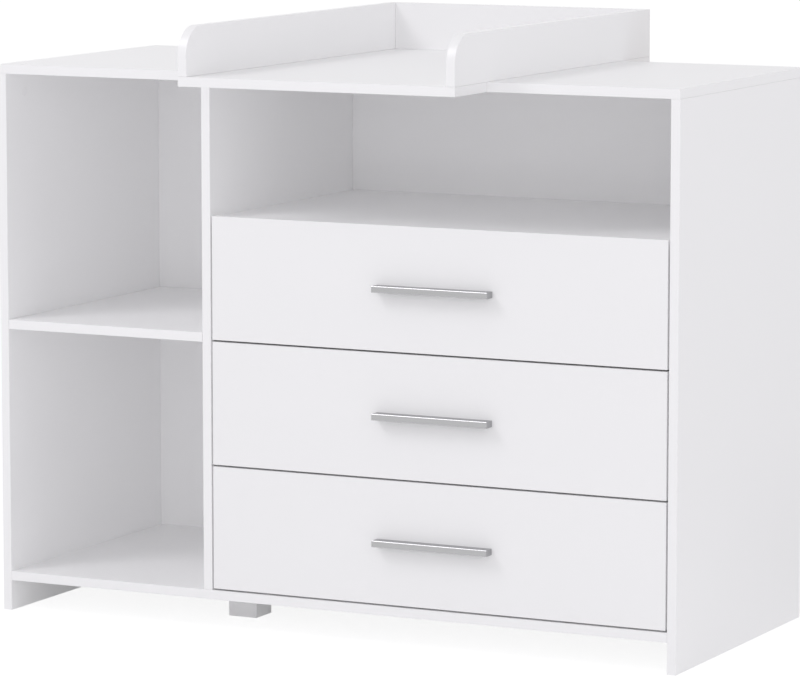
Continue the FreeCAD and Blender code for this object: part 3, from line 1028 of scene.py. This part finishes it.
@dataclass
class Handle:
    """A squared pull, open below for the fingers, with bright bevels round its front."""

    node: str
    body: str
    palette: Palette
    lip: float = 0.0035
    plate: float = 0.0025
    leg: float = 0.016
    bevel_down: float = 0.0007
    bevel_back: float = 0.00042
    end_bevel: float = 0.00028
    edge: EdgeEasing = EdgeEasing(width=0.00008, edges=EdgeChoice.BENDS, bend_angle=math.radians(20))

    def section(self, reach: float, height: float, cut: float) -> Rings:
        """Gives the outline of a slice across the handle.

        Args:
            reach: How far the handle stands out from the drawer.
            height: The handle's height.
            cut: How far the slice's front is set back for the bevel at an end.

        Returns:
            Corners round the slice, each a distance out from the drawer and a height.
        """
        front = reach - cut
        side = self.bevel_down * (1 - cut / self.bevel_back)
        top = reach - self.bevel_back
        lower = ((0.0, 0.0), (reach - self.lip, 0.0), (top, 0.0), (front, side))
        upper = ((front, height - side), (top, height), (0.0, height), (0.0, height - self.plate))
        return lower + upper

    def build(self) -> None:
        """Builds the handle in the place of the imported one."""
        box = box_of(self.node)
        size = box.size()
        left, right = box.low.x, box.high.x
        pull = NewPiece(f"{self.node}_bevelled", self.body, Slot.METAL)
        mesh = pull.mesh

        def corner(across: float, out: float, up: float) -> bmesh.types.BMVert:
            """Adds a corner, given its distance out from the drawer and its height on the handle."""
            return mesh.verts.new((across, box.high.y - out, box.low.z + up))

        def slice_at(across: float, cut: float = 0.0) -> Loop:
            """Adds the corners of a slice, whose front is set back by the cut."""
            return [corner(across, out, up) for out, up in self.section(size.y, size.z, cut)]

        left_end = [slice_at(left, self.end_bevel), slice_at(left + self.end_bevel)]
        inner = [slice_at(left + self.leg), slice_at(right - self.leg)]
        right_end = [slice_at(right - self.end_bevel), slice_at(right, self.end_bevel)]
        slices = [*left_end, *inner, *right_end]
        count = len(inner[0])
        # Between the legs, the faces before and after a slice's first corner are left open for the fingers.
        hollow = (0, count - 1)
        for here, there in zip(slices, slices[1:]):
            for first in range(count):
                second = (first + 1) % count
                if not (here is inner[0] and first in hollow):
                    mesh.faces.new((here[first], here[second], there[second], there[first]))
        mesh.faces.new(slices[0])
        mesh.faces.new(slices[-1])
        backs, lips, plates = ([loop[place] for loop in inner] for place in (0, 1, -1))
        roof = [corner(back.co.x, size.y - self.lip, size.z - self.plate) for back in backs]
        mesh.faces.new((*lips, *roof[::-1]))
        mesh.faces.new((*roof, *plates[::-1]))
        for wall in zip(backs, lips, roof, plates):
            mesh.faces.new(wall)
        bmesh.ops.recalc_face_normals(mesh, faces=mesh.faces)
        self.edge.round(pull.build(self.palette.of(SatinMetalFinish()), self.node))


@dataclass
class Drawer:
    """One drawer with its box, front, handle, fittings and slides."""

    name: DrawerName
    palette: Palette
    front_edge: EdgeEasing = EdgeEasing(width=0.0005)
    box_edge: EdgeEasing = BOARD_EDGE
    screw_cross: CrossRecess = CrossRecess(span=0.0044, width=0.0012, depth=0.0015)
    screw_head_height: float = 0.0028
    rail_screw: PanScrew = PanScrew(head=0.0034, height=0.0019, length=0.0125)
    rail_screw_shares: tuple[float, ...] = (0.08, 0.36, 0.64, 0.92)
    rail_web: float = 0.0012
    bolt_shares: Rings = (
        (0.7, 0.0), (1.0, 0.02), (1.0, 0.07), (0.6, 0.09), (0.6, 0.22),
        (1.0, 0.25), (1.0, 0.6), (0.85, 0.62), (0.85, 0.97), (0.6, 1.0),
    )

    def body(self) -> str:
        """Gives the name of the body that the drawer moves with."""
        return f"{self.name.value}_drawer"

    def node(self, part: str) -> str:
        """Gives the full name of one of the drawer's nodes."""
        return f"{self.body()}_{part}"

    def sides(self) -> tuple[str, str]:
        """Gives the nodes of the box's two sides."""
        return self.node("left_side"), self.node("right_side")

    def build(self) -> None:
        """Dresses the drawer's boards and slides and builds its handle and fittings."""
        self.palette.dress(FrontFinish(), self.node("front"))
        self.palette.dress(MelamineFinish(BoardLie.FACING), self.node("back"))
        self.palette.dress(MelamineFinish(BoardLie.ACROSS), *self.sides())
        self.front_edge.ease(self.node("front"))
        self.box_edge.ease(self.node("back"), *self.sides())
        self.palette.dress(HardboardFinish(BareFace.UNDERSIDE), self.node("bottom"))
        Handle(self.node("handle"), self.body(), self.palette).build()
        rails = [f"{self.name.value}_{rail}_rails" for rail in ("cabinet", "telescope", "drawer")]
        self.palette.dress(ZincFinish(), *rails)
        self.palette.dress(BeechFinish(), self.node("dowels"))
        self.build_handle_screws()
        self.build_cam_fittings()
        self.build_rail_screws()

    def fittings(self, part: str) -> FittingSet:
        """Starts a piece of the drawer's steel fittings."""
        return FittingSet(self.node(part), self.body(), Slot.ZINC)

    def build_handle_screws(self) -> None:
        """Builds the screws that hold the handle, with their heads inside the drawer."""
        screws = self.fittings("round_handle_screws")
        way = BoardLie.FACING.way(1.0)
        for solid in solids_of(self.node("handle_screws")):
            size = solid.size()
            screw = PanScrew(head=size.x / 2, height=self.screw_head_height, length=size.y)
            screws.add(TurnedFitting(screw.rings(), self.screw_cross), solid.end(way), way)
        screws.build(self.palette.of(ZincFinish()), self.node("handle_screws"))

    def build_cam_fittings(self) -> None:
        """Builds the cams in the box's sides and the bolts that they draw in."""
        pieces = self.fittings("round_cam_fittings")
        for solid in solids_of(self.node("cam_fittings")):
            lie, radius, length = solid.rod()
            if lie is BoardLie.FACING:
                bolt = TurnedFitting(scaled_rings(self.bolt_shares, radius, length))
                pieces.add(bolt, solid.end(lie.way(1.0)), lie.way(1.0))
            else:
                pieces.add_rod(solid, self.sides(), CAM_CROSS)
        pieces.build(self.palette.of(ZincFinish()), self.node("cam_fittings"))

    def build_rail_screws(self) -> None:
        """Builds the screws through the web of each rail that moves with the drawer."""
        screws = self.fittings("rail_screws")
        screw = TurnedFitting(self.rail_screw.rings(), self.screw_cross)
        middle = box_of(self.node("front")).middle().x
        for rail in solids_of(self.node("rails")):
            way = BoardLie.ACROSS.way(rail.middle().x - middle)
            head = rail.end(-way) + way * (self.rail_web + self.rail_screw.height)
            for share in self.rail_screw_shares:
                head.y = rail.low.y + rail.size().y * share
                screws.add(screw, head, way)
        screws.build(self.palette.of(ZincFinish()))


@dataclass
class ChangingTray:
    """The loose tray on the top: two sides, a back, and the boards that reach past the cabinet."""

    palette: Palette
    board_edge: EdgeEasing = BOARD_EDGE
    side_edge: EdgeEasing = EdgeEasing(width=0.0009, edges=EdgeChoice.BENDS)
    sides: tuple[str, ...] = ("tray_left_side", "tray_right_side")
    level: tuple[str, ...] = ("tray_front_board", "tray_rear_board")

    def build(self) -> None:
        """Dresses every node of the tray."""
        self.palette.dress(MelamineFinish(BoardLie.ACROSS), *self.sides)
        self.palette.dress(MelamineFinish(BoardLie.FACING), "tray_back")
        self.palette.dress(MelamineFinish(BoardLie.LEVEL), *self.level)
        self.side_edge.ease(*self.sides)
        self.board_edge.ease(*self.level, "tray_back")
        self.palette.dress(BeechFinish(), "tray_dowels")


@dataclass(frozen=True)
class Stand:
    """Where a lamp or the camera stands: a distance from the point that it faces, at two angles.

    The azimuth is the angle from the front towards the right and the elevation the angle up from the
    floor, both in degrees.
    """

    azimuth: float
    elevation: float
    distance: float
    aim: Triple = (0.0, 0.0, 0.5)

    def hold(self, item: bpy.types.Object) -> None:
        """Sets a lamp or camera on the stand, facing the point.

        Args:
            item: The lamp or camera.
        """
        azimuth = math.radians(self.azimuth)
        elevation = math.radians(self.elevation)
        level = math.cos(elevation)
        away = Vector((math.sin(azimuth) * level, -math.cos(azimuth) * level, math.sin(elevation)))
        item.location = Vector(self.aim) + away * self.distance
        item.rotation_euler = (-away).to_track_quat("-Z", "Y").to_euler()
        bpy.context.scene.collection.objects.link(item)


@dataclass(frozen=True)
class SoftBox:
    """A large soft lamp."""

    name: str
    stand: Stand
    width: float
    height: float
    power: float
    colour: Triple = COOL_WHITE[:3]

    def build(self) -> None:
        """Makes the lamp."""
        light = bpy.data.lights.new(self.name, "AREA")
        light.shape = "RECTANGLE"
        light.size = self.width
        light.size_y = self.height
        light.energy = self.power
        light.color = self.colour
        self.stand.hold(bpy.data.objects.new(self.name, light))


@dataclass
class Studio:
    """The floor, the light and the camera."""

    view: Stand = Stand(azimuth=26.351, elevation=7.574, distance=7.285, aim=(0.1342, -0.27, 0.5122))
    lens: float = 201.35
    sensor: float = 36.0
    floor_reach: float = 60.0
    floor_colour: Colour = (0.92, 0.92, 0.92, 1.0)
    shadow_colour: Colour = (0.25, 0.25, 0.25, 1.0)
    glow: float = 0.85
    ambient: float = 0.675
    bounces: int = 10
    lamps: tuple[SoftBox, ...] = (
        SoftBox("key_lamp", Stand(azimuth=-38.0, elevation=45.0, distance=6.0),
                width=1.8, height=2.2, power=66.0),
        SoftBox("front_lamp", Stand(azimuth=25.0, elevation=12.0, distance=5.0),
                width=4.0, height=3.0, power=18.0),
        SoftBox("low_lamp", Stand(azimuth=15.0, elevation=-3.0, distance=5.0),
                width=4.0, height=0.4, power=9.0),
        SoftBox("right_lamp", Stand(azimuth=85.0, elevation=15.0, distance=6.0),
                width=3.0, height=3.0, power=30.0),
    )

    def build(self) -> None:
        """Makes everything that the object stands in."""
        scene = bpy.context.scene
        scene.view_settings.view_transform = "Standard"
        scene.cycles.diffuse_bounces = self.bounces
        self.build_floor()
        self.build_world()
        for lamp in self.lamps:
            lamp.build()
        self.build_camera()

    def build_floor(self) -> None:
        """Makes the pale floor, which shows white and keeps a soft shadow."""
        reach = self.floor_reach
        corners = [(-reach, -reach, 0.0), (reach, -reach, 0.0), (reach, reach, 0.0), (-reach, reach, 0.0)]
        mesh = bpy.data.meshes.new("floor")
        mesh.from_pydata(corners, [], [tuple(range(len(corners)))])
        floor = bpy.data.objects.new("floor", mesh)
        bpy.context.scene.collection.objects.link(floor)
        material = bpy.data.materials.new("pale_floor")
        graph = StageGraph(material)
        lit = graph.surface("ShaderNodeBsdfDiffuse", Color=self.floor_colour)
        shaded = graph.surface("ShaderNodeBsdfDiffuse", Color=self.shadow_colour)
        glow = graph.surface("ShaderNodeEmission", Color=WHITE, Strength=self.glow)
        graph.show("ShaderNodeOutputMaterial", lit, graph.join("ShaderNodeAddShader", shaded, glow))
        mesh.materials.append(material)

    def build_world(self) -> None:
        """Makes the even light all round, which shows as plain white."""
        world = bpy.data.worlds.new("studio")
        bpy.context.scene.world = world
        graph = StageGraph(world)
        light = graph.surface("ShaderNodeBackground", Color=COOL_WHITE, Strength=self.ambient)
        white = graph.surface("ShaderNodeBackground", Color=WHITE)
        graph.show("ShaderNodeOutputWorld", light, white)

    def build_camera(self) -> None:
        """Makes the camera at the photograph's viewing angle."""
        data = bpy.data.cameras.new("camera")
        data.lens = self.lens
        data.sensor_width = self.sensor
        camera = bpy.data.objects.new("camera", data)
        self.view.hold(camera)
        bpy.context.scene.camera = camera


def main() -> None:
    """Builds every sub-assembly in order, then the studio."""
    logging.basicConfig(level=logging.INFO, format="%(name)s: %(message)s")
    palette = Palette()
    Cabinet(palette).build()
    for name in DrawerName:
        Drawer(name, palette).build()
    ChangingTray(palette).build()
    Studio().build()


if __name__ == "__main__":
    main()
